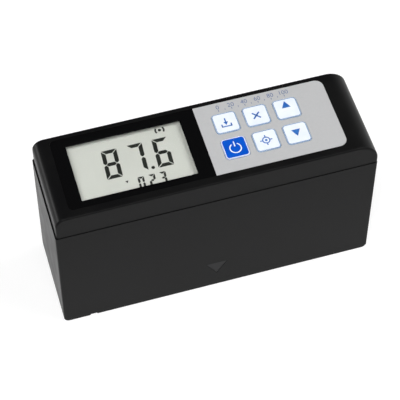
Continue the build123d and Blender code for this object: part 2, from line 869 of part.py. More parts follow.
def battery_cell(x, y, button_up):
    low = cell_bottom if button_up else cell_bottom + cell_button_height
    can = disc(x, y, low, low + cell_length - cell_button_height, cell_radius)
    can = fillet(can.edges(), cell_button_height / 2)
    button_z = cell_top - cell_button_height if button_up else cell_bottom
    return can + disc(x, y, button_z, button_z + cell_button_height, cell_button_radius)


def battery_door():
    left = battery_x - door_half_length
    right = battery_x + door_half_length
    panel = block(left, right, door_front, hinge_y, 0, door_thickness)
    barrel = rod_x(left, right, hinge_y, hinge_z, hinge_z)
    reach = door_half_length + door_gap + pivot_length
    return panel + barrel + rod_x(battery_x - reach, battery_x + reach, hinge_y, hinge_z, pivot_radius)


def door_contacts():
    reach = box_inner_half - contact_inset
    return group(block(battery_x - reach, battery_x + reach, side * cell_pitch / 2 - contact_width / 2,
                       side * cell_pitch / 2 + contact_width / 2, door_thickness,
                       door_thickness + contact_thickness) for side in (-1, 1))


def contact_spring(x, y):
    """A short coil spring between the door's contact and a cell."""
    low = door_thickness + contact_thickness
    pitch = (spring_height - 2 * spring_wire_radius) / spring_turns
    path = Helix(pitch=pitch, height=pitch * spring_turns, radius=spring_radius)
    start = Plane(origin=path @ 0, z_dir=path % 0)
    coil = sweep(start * Circle(spring_wire_radius), path=path, is_frenet=True)
    return Pos(x, y, low + spring_wire_radius) * coil


def contact_springs():
    return group(contact_spring(x, y) for x, y in cell_spots)


def data_jack():
    mouth = end_x(jack_z) - fit_gap
    body_face = end_x(seam_z) - case_wall
    body = block(body_face - jack_body_length, body_face, -jack_body_depth / 2, jack_body_depth / 2,
                 jack_z - jack_body_height / 2, jack_z + jack_body_height / 2)
    body += rod_x(body_face - jack_body_length / 2, mouth, 0, jack_z, jack_nose_radius)
    return body - rod_x(mouth - jack_bore_depth, mouth, 0, jack_z, jack_bore_radius)


def jack_nut():
    mouth = end_x(jack_z) - fit_gap
    nut = rod_x(mouth - jack_nut_height, mouth, 0, jack_z, jack_nut_radius)
    return nut - rod_x(mouth - jack_nut_height, mouth, 0, jack_z, jack_nose_radius)


def jack_leads():
    x = end_x(seam_z) - case_wall - jack_body_length + jack_lead_inset
    return group(disc(x, i * jack_lead_pitch, jack_z + jack_body_height / 2, board_under, jack_lead_radius)
                 for i in (-1, 0, 1))


def all_parts():
    parts = {
        "lower_case": lower_case(),
        "top_cover": top_cover(),
        "front_overlay": front_overlay(),
        "display_window": display_window(),
        "lcd_glass": lcd_glass(),
        "lcd_frame": lcd_frame(),
        "zebra_strips": zebra_strips(),
        "main_board": main_board(),
        "board_screws": board_screws(),
        "case_screws": case_screws(),
        "microcontroller": microcontroller(),
        "board_chips": board_chips(),
        "buzzer": buzzer(),
        "push_switches": push_switches(),
        "aperture_plate": aperture_plate(),
        "plate_screws": plate_screws(),
        "optical_head": optical_head(),
        "lens": lens(),
        "retaining_rings": retaining_rings(),
        "blue_filter": blue_filter(),
        "photodiode": photodiode(),
        "sensor_board": sensor_board(),
        "sensor_screws": sensor_screws(),
        "lamps": lamps(),
        "lamp_boards": lamp_boards(),
        "lamp_flexes": lamp_flexes(),
        "ribbon_connectors": ribbon_connectors(),
        "ribbon_cable": ribbon_cable(),
        "battery_box": battery_box(),
        "box_screws": box_screws(),
        "battery_contacts": battery_contacts(),
        "battery_leads": battery_leads(),
        "battery_door": battery_door(),
        "door_contacts": door_contacts(),
        "contact_springs": contact_springs(),
        "data_jack": data_jack(),
        "jack_nut": jack_nut(),
        "jack_leads": jack_leads(),
    }
    for name, (x, y) in key_spots().items():
        parts[name] = key_cap(x, y)
        parts[name.replace("_key", "_plunger")] = key_plunger(x, y)
    for index, (x, y) in enumerate(cell_spots):
        button_up = index in (0, 3)
        parts[f"battery_cell_{index + 1}"] = battery_cell(x, y, button_up)
    return parts


os.makedirs("parts", exist_ok=True)
for node, shape in all_parts().items():
    export_step(shape, f"parts/{node}.step")
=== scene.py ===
import math

import bpy
from mathutils import Matrix, Vector


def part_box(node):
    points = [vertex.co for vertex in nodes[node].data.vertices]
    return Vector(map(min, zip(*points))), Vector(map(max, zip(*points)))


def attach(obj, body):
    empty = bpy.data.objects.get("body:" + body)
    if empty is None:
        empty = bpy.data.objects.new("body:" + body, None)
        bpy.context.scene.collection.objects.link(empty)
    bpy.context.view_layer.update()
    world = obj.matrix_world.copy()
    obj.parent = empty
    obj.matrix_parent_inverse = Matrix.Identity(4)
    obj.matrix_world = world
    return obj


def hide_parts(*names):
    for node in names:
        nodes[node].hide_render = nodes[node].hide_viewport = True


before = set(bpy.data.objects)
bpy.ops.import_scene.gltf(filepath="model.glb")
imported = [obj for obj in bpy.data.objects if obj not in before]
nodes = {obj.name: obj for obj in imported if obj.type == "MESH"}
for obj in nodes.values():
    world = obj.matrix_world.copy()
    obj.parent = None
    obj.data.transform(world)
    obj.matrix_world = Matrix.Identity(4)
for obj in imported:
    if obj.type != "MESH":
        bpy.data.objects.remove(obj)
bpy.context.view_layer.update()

# Whiteness meter, looks. Blender works in metres, so sizes written in millimetres are times MM.
MM = 0.001

# Camera, as the photograph was taken: a long lens from the front left, well above the meter
camera_place = Vector((-112.995, -376.403, 601.026)) * MM
camera_aim = Vector((-2.644, -1.823, 40.0)) * MM
focal_pixels = 1569.204
image_pixels = 400
sensor_width = 36.0

# Light: softboxes over the right, the left and the front, a strip low at the back left, and one under
# the table
floor_size = 3.0
floor_lift = 0.01 * MM
floor_glow = 0.66
end_margin = 3.3 * MM
side_margin = 0.3 * MM
lamps = {
    "right_softbox": {"place": (0.75, -0.15, 1.10), "size": 1.0, "power": 9.6},
    "left_softbox": {"place": (-0.75, -0.15, 1.15), "size": 1.0, "power": 6.2},
    "front_softbox": {"place": (-0.25, -0.75, 1.10), "size": 0.8, "power": 7.6},
    "back_strip": {"place": (-0.85, 0.57, 0.17), "size": 0.22, "power": 1.6},
    "under_table": {"place": (0.15, -0.35, -0.70), "size": 0.7, "power": 9.0},
}
world_level = 0.07
dark_ceiling = (0.25, 0.45)

# Prints are thin layers of ink. A key's face is lowered by ink_depth to keep them under the highest solid.
ink_depth = 0.03 * MM
key_names = ("store_key", "clear_key", "up_key", "power_key", "calibrate_key", "down_key")
key_size = 10.6 * MM
key_radius = 1.7 * MM
key_edge = 0.25 * MM
outline_width = 0.50 * MM
power_rim_width = 0.55 * MM

# Seven-segment display, measured on the glass
digit_width = 6.7 * MM
digit_height = 14.7 * MM
digit_stroke = 1.75 * MM
digit_pitch = 10.95 * MM
digit_start = (-43.35 * MM, -5.2 * MM)
point_centre = (-23.6 * MM, -4.4 * MM)
point_radius = 0.75 * MM
small_width = 2.75 * MM
small_height = 6.1 * MM
small_stroke = 0.95 * MM
small_pitch = 4.6 * MM
small_start = (-31.6 * MM, -13.6 * MM)
digit_slant = 0.055
segment_gap = 0.14
lit_segments = {"0": "abcdef", "2": "abged", "3": "abgcd", "6": "afgecd", "7": "abc", "8": "abcdefg"}
reading = "876"
small_reading = "023"
beep_centre = (-15.9 * MM, 13.6 * MM)
beep_dot_radius = 0.70 * MM
beep_arc_radius = 2.2 * MM
beep_arc_stroke = 0.75 * MM
marker_centre = (-35.8 * MM, -8.3 * MM)
marker_radius = 0.8 * MM

# Signs drawn on the keys
quarter_turn = math.pi / 2
sign_stroke = 0.55 * MM
tray_width = 4.6 * MM
tray_wall_height = 1.6 * MM
tray_wall_x = 2.03 * MM
tray_wall_y = -1.45 * MM
tray_floor_y = -2.0 * MM
stem_length = 2.0 * MM
stem_y = 1.3 * MM
arrow_head_radius = 1.15 * MM
arrow_head_y = -0.15 * MM
cross_length = 4.4 * MM
cross_stroke = 0.65 * MM
target_radius = 1.75 * MM
target_stroke = 0.5 * MM
target_dot_radius = 0.55 * MM
target_line_length = 0.95 * MM
target_line_x = 2.2 * MM
triangle_radius = 2.2 * MM
triangle_stretch = 1.06
up_triangle_y = 1.6 * MM
down_triangle_y = 0.7 * MM
power_radius = 2.65 * MM
power_gap = 1.05 * MM
power_line_length = 2.7 * MM
power_line_stroke = 0.52 * MM
power_line_y = 2.2 * MM
power_sign_y = -0.3 * MM

# Scale printed over the keys: plain numbers and ticks
scale_left = 10.4 * MM
scale_right = 39.6 * MM
scale_y = 15.2 * MM
scale_steps = 10
scale_numbers = (0, 20, 40, 60, 80, 100)
scale_text_size = 3.0 * MM
text_lift = 0.35 * MM
tick_width = 0.3 * MM
long_tick = 1.0 * MM
short_tick = 0.70 * MM

# The space round the floor of the arrow's pocket, and how the wrap of a cell is divided
pocket_middle = Vector((-0.6, -20.94, 13.6)) * MM
pocket_half = Vector((5.0, 0.44, 4.6)) * MM
cell_bare_end = 1.0 * MM
cell_band_end = 3.0 * MM
cell_band = 9.0 * MM


def hex_colour(code):
    """An sRGB hex value as Blender's linear colour."""
    channels = [int(code[start:start + 2], 16) / 255 for start in (0, 2, 4)]
    linear = [c / 12.92 if c <= 0.04045 else ((c + 0.055) / 1.055) ** 2.4 for c in channels]
    return (*linear, 1.0)


def add_node(tree, kind, settings=None, links=None):
    """Adds a node. Settings are properties or sockets by name, links are sockets that feed its inputs."""
    node = tree.nodes.new(kind)
    for name, value in (settings or {}).items():
        if isinstance(name, int) or name in node.inputs:
            node.inputs[name].default_value = value
        else:
            setattr(node, name, value)
    for name, socket in (links or {}).items():
        tree.links.new(socket, node.inputs[name])
    return node


def new_material(name):
    """An empty material and its node tree, with only the output left."""
    material = bpy.data.materials.new(name)
    material.use_nodes = True
    tree = material.node_tree
    tree.nodes.clear()
    return material, tree


def surface(name, low, high, patch, rough, grain=0.0, depth=0.0, stretch=(1, 1, 1), **sockets):
    """A finish with mottled colour and roughness and a fine grain. Patch, grain and depth are in mm."""
    material, tree = new_material(name)
    place = add_node(tree, "ShaderNodeTexCoord")
    spread = add_node(tree, "ShaderNodeMapping", {"Scale": stretch}, {"Vector": place.outputs["Object"]})
    patches = add_node(tree, "ShaderNodeTexNoise", {"Scale": 1 / (patch * MM)},
                       {"Vector": spread.outputs[0]})
    mottle = add_node(tree, "ShaderNodeMapRange", {"From Min": 0.35, "From Max": 0.65},
                      {"Value": patches.outputs["Fac"]})
    tone = add_node(tree, "ShaderNodeMixRGB", {"Color1": hex_colour(low), "Color2": hex_colour(high)},
                    {"Fac": mottle.outputs[0]})
    gloss = add_node(tree, "ShaderNodeMapRange", {"To Min": rough[0], "To Max": rough[1]},
                     {"Value": mottle.outputs[0]})
    links = {"Base Color": tone.outputs[0], "Roughness": gloss.outputs[0]}
    if grain:
        height = add_node(tree, "ShaderNodeTexNoise", {"Scale": 1 / (grain * MM), "Detail": 3.0},
                          {"Vector": spread.outputs[0]})
        bump = add_node(tree, "ShaderNodeBump", {"Distance": depth * MM}, {"Height": height.outputs["Fac"]})
        links["Normal"] = bump.outputs[0]
    shader = add_node(tree, "ShaderNodeBsdfPrincipled", sockets, links)
    add_node(tree, "ShaderNodeOutputMaterial", links={"Surface": shader.outputs[0]})
    return material


def moulded_case(name="moulded_black_abs"):
    # ABS, injection moulded with a fine spark texture: near black, satin, a faint grain and an even sheen.
    # The texture traps most of the gloss, so the specular level is low. The real grain is about 0.1 mm and
    # would vanish, so it is drawn at 0.35 mm.
    return surface(name, "0f0f10", "131313", 14, (0.34, 0.40), 0.35, 0.006,
                   **{"IOR": 1.53, "Specular IOR Level": 0.07})


def moulded_case_body():
    # The same ABS on the lower case. The floor of the arrow's pocket gets a lighter grey base colour:
    # painted sheen, standing in for the gloss of a smoother floor.
    material = moulded_case("moulded_black_abs_with_painted_arrow_sheen")
    tree = material.node_tree
    shader = next(node for node in tree.nodes if node.type == "BSDF_PRINCIPLED")
    place = next(node for node in tree.nodes if node.type == "TEX_COORD")
    # Mask of the arrow pocket's floor, where the painted sheen goes
    axes = add_node(tree, "ShaderNodeSeparateXYZ", links={"Vector": place.outputs["Object"]})
    across, inwards, upright = [
        add_node(tree, "ShaderNodeMath",
                 {"operation": "COMPARE", 1: pocket_middle[axis], 2: pocket_half[axis]},
                 {0: axes.outputs[axis]})
        for axis in range(3)
    ]
    face = add_node(tree, "ShaderNodeMath", {"operation": "MULTIPLY"},
                    {0: across.outputs[0], 1: upright.outputs[0]})
    arrow = add_node(tree, "ShaderNodeMath", {"operation": "MULTIPLY"},
                     {0: face.outputs[0], 1: inwards.outputs[0]})
    plain = shader.inputs["Base Color"].links[0].from_socket
    # Painted sheen: the pocket floor's base colour is lifted to grey
    tone = add_node(tree, "ShaderNodeMixRGB", {"Color2": hex_colour("343435")},
                    {"Fac": arrow.outputs[0], "Color1": plain})
    tree.links.new(tone.outputs[0], shader.inputs["Base Color"])
    return material


def printed_overlay():
    # Polycarbonate film, printed on its back: glossy black round the display, satin silver round the keys.
    material, tree = new_material("printed_polycarbonate_film")
    place = add_node(tree, "ShaderNodeTexCoord")
    axes = add_node(tree, "ShaderNodeSeparateXYZ", links={"Vector": place.outputs["Object"]})
    silver = add_node(tree, "ShaderNodeMath", {"operation": "GREATER_THAN", 1: 0.0}, {0: axes.outputs["X"]})
    fleck = add_node(tree, "ShaderNodeTexNoise", {"Scale": 1 / (0.9 * MM), "Detail": 3.0},
                     {"Vector": place.outputs["Object"]})
    silver_ink = add_node(tree, "ShaderNodeMixRGB",
                          {"Color1": hex_colour("b7b8b9"), "Color2": hex_colour("bfbfc0")},
                          {"Fac": fleck.outputs["Fac"]})
    colour = add_node(tree, "ShaderNodeMixRGB", {"Color1": hex_colour("050506")},
                      {"Fac": silver.outputs[0], "Color2": silver_ink.outputs[0]})
    wear = add_node(tree, "ShaderNodeTexNoise", {"Scale": 1 / (8 * MM)}, {"Vector": place.outputs["Object"]})
    satin = add_node(tree, "ShaderNodeMapRange", {"To Min": 0.40, "To Max": 0.48},
                     {"Value": wear.outputs["Fac"]})
    gloss = add_node(tree, "ShaderNodeMapRange", {"To Min": 0.10, "To Max": 0.16},
                     {"Value": wear.outputs["Fac"]})
    rough = add_node(tree, "ShaderNodeMix", {"data_type": "FLOAT"},
                     {"Factor": silver.outputs[0], "A": gloss.outputs[0], "B": satin.outputs[0]})
    shader = add_node(tree, "ShaderNodeBsdfPrincipled", {"IOR": 1.5, "Specular IOR Level": 0.35},
                      {"Base Color": colour.outputs[0], "Roughness": rough.outputs[0]})
    add_node(tree, "ShaderNodeOutputMaterial", links={"Surface": shader.outputs[0]})
    return material


def clear_window():
    # Cast acrylic, polished: clear, with a sharp reflection that grows towards low angles. The plate is thin
    # and flat, so what lies behind it shows unbent.
    material, tree = new_material("clear_acrylic")
    place = add_node(tree, "ShaderNodeTexCoord")
    haze = add_node(tree, "ShaderNodeTexNoise", {"Scale": 1 / (8 * MM)}, {"Vector": place.outputs["Object"]})
    polish = add_node(tree, "ShaderNodeMapRange", {"To Min": 0.02, "To Max": 0.05},
                      {"Value": haze.outputs["Fac"]})
    edge = add_node(tree, "ShaderNodeLayerWeight", {"Blend": 0.5})
    curve = add_node(tree, "ShaderNodeMath", {"operation": "POWER", 1: 5.0}, {0: edge.outputs["Facing"]})
    share = add_node(tree, "ShaderNodeMapRange", {"To Min": 0.03, "To Max": 0.8},
                     {"Value": curve.outputs[0]})
    shine = add_node(tree, "ShaderNodeBsdfPrincipled", {"Base Color": hex_colour("ffffff"), "Metallic": 1.0},
                     {"Roughness": polish.outputs[0]})
    clear = add_node(tree, "ShaderNodeBsdfTransparent")
    mix = add_node(tree, "ShaderNodeMixShader", links={0: share.outputs[0], 1: clear.outputs[0],
                                                       2: shine.outputs[0]})
    add_node(tree, "ShaderNodeOutputMaterial", links={"Surface": mix.outputs[0]})
    return material


def wrapped_cell():
    # Alkaline cell: a steel can in a charcoal shrink film with a plain copper band, bare at both ends.
    material, tree = new_material("cell_in_shrink_film")
    low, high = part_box("battery_cell_1")
    place = add_node(tree, "ShaderNodeTexCoord")
    axes = add_node(tree, "ShaderNodeSeparateXYZ", links={"Vector": place.outputs["Object"]})
    wrap_half = (high.z - low.z) / 2 - cell_bare_end
    band_middle = high.z - cell_band_end - cell_band / 2
    wrap = add_node(tree, "ShaderNodeMath", {"operation": "COMPARE", 1: (low.z + high.z) / 2, 2: wrap_half},
                    {0: axes.outputs["Z"]})
    band_print = add_node(tree, "ShaderNodeMath", {"operation": "COMPARE", 1: band_middle, 2: cell_band / 2},
                          {0: axes.outputs["Z"]})
    scuff = add_node(tree, "ShaderNodeTexNoise", {"Scale": 1 / (1.5 * MM)},
                     {"Vector": place.outputs["Object"]})
    film = add_node(tree, "ShaderNodeMixRGB",
                    {"Color1": hex_colour("26282b"), "Color2": hex_colour("b06a35")},
                    {"Fac": band_print.outputs[0]})
    colour = add_node(tree, "ShaderNodeMixRGB", {"Color1": hex_colour("c9cdd2")},
                      {"Fac": wrap.outputs[0], "Color2": film.outputs[0]})
    rough = add_node(tree, "ShaderNodeMapRange", {"To Min": 0.26, "To Max": 0.36},
                     {"Value": scuff.outputs["Fac"]})
    metal = add_node(tree, "ShaderNodeMath", {"operation": "SUBTRACT", 0: 1.0}, {1: wrap.outputs[0]})
    shader = add_node(tree, "ShaderNodeBsdfPrincipled",
                      links={"Base Color": colour.outputs[0], "Roughness": rough.outputs[0],
                             "Metallic": metal.outputs[0]})
    add_node(tree, "ShaderNodeOutputMaterial", links={"Surface": shader.outputs[0]})
    return material


def make_finishes():
    """Every finish, by the name that the pieces use for it."""
    return {
        "case": moulded_case(),
        "case_body": moulded_case_body(),
        "film": printed_overlay(),
        "window": clear_window(),
        # Liquid crystal cell with a reflective back: pale grey green, satin polariser.
        "lcd": surface("lcd_polariser", "cfd2ca", "d4d7cf", 30, (0.34, 0.40), **{"Specular IOR Level": 0.3}),
        # Darkened liquid crystal: almost black with a green cast.
        "segment": surface("lcd_dark_segment", "161a15", "1e231d", 6, (0.35, 0.42)),
        # Silicone key cap sprayed white, with a soft satin coat.
        "key_white": surface("white_coated_silicone", "eaf1fa", "f0f6fd", 5, (0.38, 0.45), 0.5, 0.003,
                             **{"Specular IOR Level": 0.2}),
        "key_blue": surface("blue_coated_silicone", "0050c4", "0056cc", 5, (0.35, 0.42), 0.5, 0.003,
                            **{"Specular IOR Level": 0.2}),
        # Pad printing ink, opaque with slightly uneven cover.
        "ink_outline": surface("blue_grey_ink", "4679ae", "5687ba", 1.5, (0.40, 0.50)),
        "ink_blue": surface("blue_ink", "1f62b4", "2c70c2", 1.5, (0.40, 0.50)),
        "ink_white": surface("white_ink", "e8f1fb", "f4f9ff", 1.5, (0.40, 0.50)),
        "ink_scale": surface("slate_ink", "5c6c92", "6c7ca0", 1.5, (0.40, 0.50)),
        # Black nylon for inner frames, matt with a little fibre streak.
        "inner_black": surface("black_nylon", "141415", "1c1c1e", 8, (0.50, 0.62), 0.6, 0.01,
                               stretch=(1, 0.3, 1)),
        # Conductive rubber: soft, matt grey black.
        "elastomer": surface("conductive_rubber", "2a2a2c", "3a3a3d", 1.2, (0.70, 0.85), 0.4, 0.01),
        # Glass fibre board under green solder mask: glossy, with the weave just showing.
        "circuit_board": surface("solder_mask_on_glass_fibre", "0c4a26", "12602f", 2.5, (0.22, 0.35),
                                 0.7, 0.01),
        # Moulded epoxy chip packages: dull charcoal.
        "chip": surface("moulded_epoxy", "1b1b1d", "27272a", 1.5, (0.55, 0.70), 0.3, 0.008),
        # Zinc plated steel: bright with a faint blue cast and small scuffs.
        "steel": surface("zinc_plated_steel", "b9bec6", "d2d5da", 1.2, (0.24, 0.38), 0.4, 0.004,
                         Metallic=1.0),
        # Black anodised aluminium: deep grey, fine blasted texture.
        "aluminium_black": surface("black_anodised_aluminium", "232326", "303034", 6, (0.38, 0.50),
                                   0.3, 0.006, Metallic=0.7),
        # Nickel plated spring steel: warm bright metal.
        "nickel": surface("nickel_plate", "c4bfb4", "dad6cc", 1.0, (0.16, 0.30), 0.3, 0.003, Metallic=1.0),
        # Grey plunger of a push switch, moulded nylon.
        "plunger": surface("grey_nylon", "5a5c60", "6a6c70", 2, (0.45, 0.55), 0.3, 0.006),
        # Crown glass lens with a faint coating.
        "lens_glass": surface("coated_crown_glass", "e6eef8", "f2f7fd", 3, (0.02, 0.05), IOR=1.52,
                              **{"Transmission Weight": 1.0}),
        "filter_glass": surface("blue_filter_glass", "2450c8", "3060dc", 3, (0.03, 0.06), IOR=1.52,
                                **{"Transmission Weight": 0.85}),
        # Photodiode can: tin plated steel.
        "sensor_can": surface("tin_plate", "9aa0a6", "b4b8bc", 1.5, (0.25, 0.40), 0.3, 0.004, Metallic=1.0),
        # Lamp lens: clear epoxy with a cool cast.
        "lamp_lens": surface("clear_epoxy", "cfe0ff", "e0ebff", 2, (0.05, 0.10), IOR=1.53,
                             **{"Transmission Weight": 0.7}),
        # Connector housings: off-white nylon.
        "white_plastic": surface("ivory_nylon", "dcd8cc", "e8e4d8", 2, (0.42, 0.52), 0.4, 0.006),
        # Ribbon cable: grey vinyl with a rib for each strand.
        "ribbon": surface("grey_vinyl_ribbon", "8b8f94", "a4a8ad", 1.2, (0.42, 0.52), 0.8, 0.05,
                          stretch=(1, 1, 0.05)),
        # Flexible circuit: amber polyimide.
        "flex": surface("polyimide_film", "a8601c", "c07828", 2, (0.25, 0.35), 0.5, 0.004),
        # Insulated wire: dark red vinyl.
        "wire": surface("red_vinyl", "8c1a16", "a4241e", 1.5, (0.32, 0.42), 0.4, 0.004),
        "cell_jacket": wrapped_cell(),
    }


finishes = make_finishes()

node_finishes = {
    "case_body": ["lower_case"],
    "case": ["top_cover", "battery_door"],
    "film": ["front_overlay"],
    "window": ["display_window"],
    "lcd": ["lcd_glass"],
    "inner_black": ["lcd_frame", "battery_box", "push_switches", "data_jack", "buzzer"],
    "elastomer": ["zebra_strips"],
    "circuit_board": ["main_board", "sensor_board", "lamp_boards"],
    "chip": ["microcontroller", "board_chips"],
    "steel": ["board_screws", "case_screws", "plate_screws", "sensor_screws", "box_screws"],
    "aluminium_black": ["optical_head", "aperture_plate", "retaining_rings"],
    "nickel": ["battery_contacts", "door_contacts", "contact_springs", "jack_nut"],
    "lens_glass": ["lens"],
    "filter_glass": ["blue_filter"],
    "sensor_can": ["photodiode"],
    "lamp_lens": ["lamps"],
    "white_plastic": ["ribbon_connectors"],
    "ribbon": ["ribbon_cable"],
    "flex": ["lamp_flexes"],
    "wire": ["battery_leads", "jack_leads"],
    "cell_jacket": [f"battery_cell_{number}" for number in (1, 2, 3, 4)],
    "plunger": [name.replace("_key", "_plunger") for name in key_names],
    "key_white": [name for name in key_names if name != "power_key"],
    "key_blue": ["power_key"],
}


def dress(piece, finish):
    """Gives a piece or a solid one finish all over."""
    piece.data.materials.clear()
    piece.data.materials.append(finishes[finish])


def dress_nodes():
    for finish, names in node_finishes.items():
        for name in names:
            dress(nodes[name], finish)


def clear_selection():
    bpy.ops.object.select_all(action="DESELECT")


def pick(piece, kind, test):
    """In edit mode, selects only the vertices or faces whose place passes a test."""
    bpy.ops.object.mode_set(mode="OBJECT")
    mesh = piece.data
    for group in (mesh.vertices, mesh.edges, mesh.polygons):
        group.foreach_set("select", [False] * len(group))
    elements = mesh.vertices if kind == "VERT" else mesh.polygons
    for element in elements:
        element.select = test(element.co if kind == "VERT" else element.center)
    bpy.ops.object.mode_set(mode="EDIT")
    bpy.ops.mesh.select_mode(type=kind)


def start(name, operator, **settings):
    """Adds a primitive in edit mode with everything else deselected."""
    clear_selection()
    operator(**settings)
    piece = bpy.context.active_object
    piece.name = name
    return piece


def settle(piece):
    """Leaves edit mode and puts the piece's place into its mesh."""
    if bpy.context.mode != "OBJECT":
        bpy.ops.object.mode_set(mode="OBJECT")
    clear_selection()
    piece.select_set(True)
    bpy.context.view_layer.objects.active = piece
    bpy.ops.object.transform_apply(location=True, rotation=True, scale=True)
    return piece


def thicken(piece, depth):
    """Turns a flat drawing into a closed layer that reaches up by a depth."""
    if bpy.context.mode != "EDIT_MESH":
        bpy.ops.object.mode_set(mode="EDIT")
    bpy.ops.mesh.select_all(action="SELECT")
    bpy.ops.mesh.extrude_region_move(TRANSFORM_OT_translate={"value": (0, 0, depth)})
    bpy.ops.mesh.select_all(action="SELECT")
    bpy.ops.mesh.normals_make_consistent(inside=False)
    bpy.ops.object.mode_set(mode="OBJECT")
    return piece


def place_mesh(piece, matrix):
    """Moves the mesh itself, as the object stays at the origin."""
    piece.data.transform(matrix)
    piece.data.update()
    return piece


def copy_of(piece, name, matrix):
    """A copy with a mesh of its own, moved by a matrix."""
    twin = piece.copy()
    twin.data = piece.data.copy()
    twin.name = name
    bpy.context.scene.collection.objects.link(twin)
    return place_mesh(twin, matrix)


def joined(pieces, name):
    """Joins several pieces into one."""
    clear_selection()
    for piece in pieces:
        piece.select_set(True)
    bpy.context.view_layer.objects.active = pieces[0]
    bpy.ops.object.join()
    pieces[0].name = name
    pieces[0].data.name = name
    return pieces[0]


def bar(name, length, width, depth):
    """A rounded bar along X, from the origin's middle."""
    piece = start(name, bpy.ops.mesh.primitive_plane_add, size=1)
    piece.scale = (length, width, 1)
    settle(piece)
    bpy.ops.object.mode_set(mode="EDIT")
    bpy.ops.mesh.select_all(action="SELECT")
    bpy.ops.mesh.bevel(offset=width * 0.3, offset_pct=0, segments=3, affect="VERTICES")
    return thicken(piece, depth)


def plate(name, radius, depth, sides=48, turn=0.0):
    """A flat disc or polygon."""
    piece = start(name, bpy.ops.mesh.primitive_circle_add, vertices=sides, radius=radius, fill_type="NGON")
    place_mesh(piece, Matrix.Rotation(turn, 4, "Z"))
    return thicken(piece, depth)


def band(name, radius, width, depth, keep=lambda centre: True, sides=64):
    """A flat ring of a width, inwards from a radius, or the part of it that keep allows."""
    piece = start(name, bpy.ops.mesh.primitive_circle_add, vertices=sides, radius=radius, fill_type="NGON")
    bpy.ops.object.mode_set(mode="EDIT")
    bpy.ops.mesh.select_all(action="SELECT")
    bpy.ops.mesh.inset(thickness=width)
    bpy.ops.mesh.delete(type="FACE")
    pick(piece, "FACE", lambda centre: not keep(centre))
    bpy.ops.mesh.delete(type="FACE")
    return thicken(piece, depth)


def square_outline(name, size, radius, width, depth):
    """The outline of a rounded square."""
    piece = start(name, bpy.ops.mesh.primitive_plane_add, size=size)
    bpy.ops.object.mode_set(mode="EDIT")
    bpy.ops.mesh.select_all(action="SELECT")
    bpy.ops.mesh.bevel(offset=radius, offset_pct=0, segments=8, affect="VERTICES")
    bpy.ops.mesh.select_all(action="SELECT")
    bpy.ops.mesh.inset(thickness=width)
    bpy.ops.mesh.delete(type="FACE")
    return thicken(piece, depth)


def move_corner(piece, test, shift):
    pick(piece, "VERT", test)
    bpy.ops.transform.translate(value=shift)


def outer_segment(name, length, stroke, depth):
    """A bar along X with its lower edge cut back at 45 degrees, as at the top of a digit."""
    piece = start(name, bpy.ops.mesh.primitive_plane_add, size=1)
    piece.scale = (length, stroke, 1)
    settle(piece)
    bpy.ops.object.mode_set(mode="EDIT")
    move_corner(piece, lambda co: co.y < 0 and co.x < 0, (stroke, 0, 0))
    move_corner(piece, lambda co: co.y < 0 and co.x > 0, (-stroke, 0, 0))
    return thicken(piece, depth)


def middle_segment(name, length, stroke, depth):
    """A bar along X with a point at each end."""
    piece = start(name, bpy.ops.mesh.primitive_plane_add, size=1)
    piece.scale = (length, stroke, 1)
    settle(piece)
    bpy.ops.object.mode_set(mode="EDIT")
    bpy.ops.mesh.select_all(action="SELECT")
    bpy.ops.mesh.bevel(offset=stroke * 0.42, offset_pct=0, segments=1, affect="VERTICES")
    return thicken(piece, depth)


def side_segment(name, length, stroke, depth):
    """A bar along Y for the upper left of a digit: mitred above, nearly pointed below."""
    piece = start(name, bpy.ops.mesh.primitive_plane_add, size=1)
    piece.scale = (stroke, length, 1)
    settle(piece)
    bpy.ops.object.mode_set(mode="EDIT")
    pick(piece, "VERT", lambda co: co.y < 0)
    bpy.ops.mesh.bevel(offset=stroke * 0.4, offset_pct=0, segments=1, affect="VERTICES")
    move_corner(piece, lambda co: co.y > 0 and co.x > 0, (0, -stroke, 0))
    return thicken(piece, depth)


def digit(character, name, width, height, stroke, depth):
    """One seven-segment figure with its lower left corner at the origin."""
    gap = segment_gap * stroke
    half = height / 2
    across = outer_segment("across", width - 2 * gap, stroke, depth)
    centre = middle_segment("centre", width - 2 * stroke + stroke * 0.55, stroke, depth)
    side = side_segment("side", half - 2 * gap, stroke, depth)
    flip_x = Matrix.Scale(-1, 4, (1, 0, 0))
    flip_y = Matrix.Scale(-1, 4, (0, 1, 0))
    left = stroke / 2
    right = width - stroke / 2
    places = {
        "a": (across, Matrix.Translation((width / 2, height - stroke / 2, 0))),
        "d": (across, Matrix.Translation((width / 2, stroke / 2, 0)) @ flip_y),
        "g": (centre, Matrix.Translation((width / 2, half, 0))),
        "f": (side, Matrix.Translation((left, half * 1.5, 0))),
        "b": (side, Matrix.Translation((right, half * 1.5, 0)) @ flip_x),
        "e": (side, Matrix.Translation((left, half / 2, 0)) @ flip_y),
        "c": (side, Matrix.Translation((right, half / 2, 0)) @ flip_x @ flip_y),
    }
    pieces = [copy_of(places[letter][0], letter, places[letter][1]) for letter in lit_segments[character]]
    for pattern_piece in (across, centre, side):
        bpy.data.objects.remove(pattern_piece)
    return joined(pieces, name)


def face_outwards(piece):
    """Recalculates the normals, which a mirror turns inside out."""
    clear_selection()
    piece.select_set(True)
    bpy.context.view_layer.objects.active = piece
    bpy.ops.object.mode_set(mode="EDIT")
    bpy.ops.mesh.select_all(action="SELECT")
    bpy.ops.mesh.remove_doubles(threshold=1e-7)
    bpy.ops.mesh.normals_make_consistent(inside=False)
    bpy.ops.object.mode_set(mode="OBJECT")


def trim_front(piece, y):
    """Cuts away what lies in front of a line, and closes the cut."""
    clear_selection()
    piece.select_set(True)
    bpy.context.view_layer.objects.active = piece
    bpy.ops.object.mode_set(mode="EDIT")
    bpy.ops.mesh.select_all(action="SELECT")
    bpy.ops.mesh.bisect(plane_co=(0, y, 0), plane_no=(0, -1, 0), clear_outer=True, use_fill=True)
    bpy.ops.object.mode_set(mode="OBJECT")


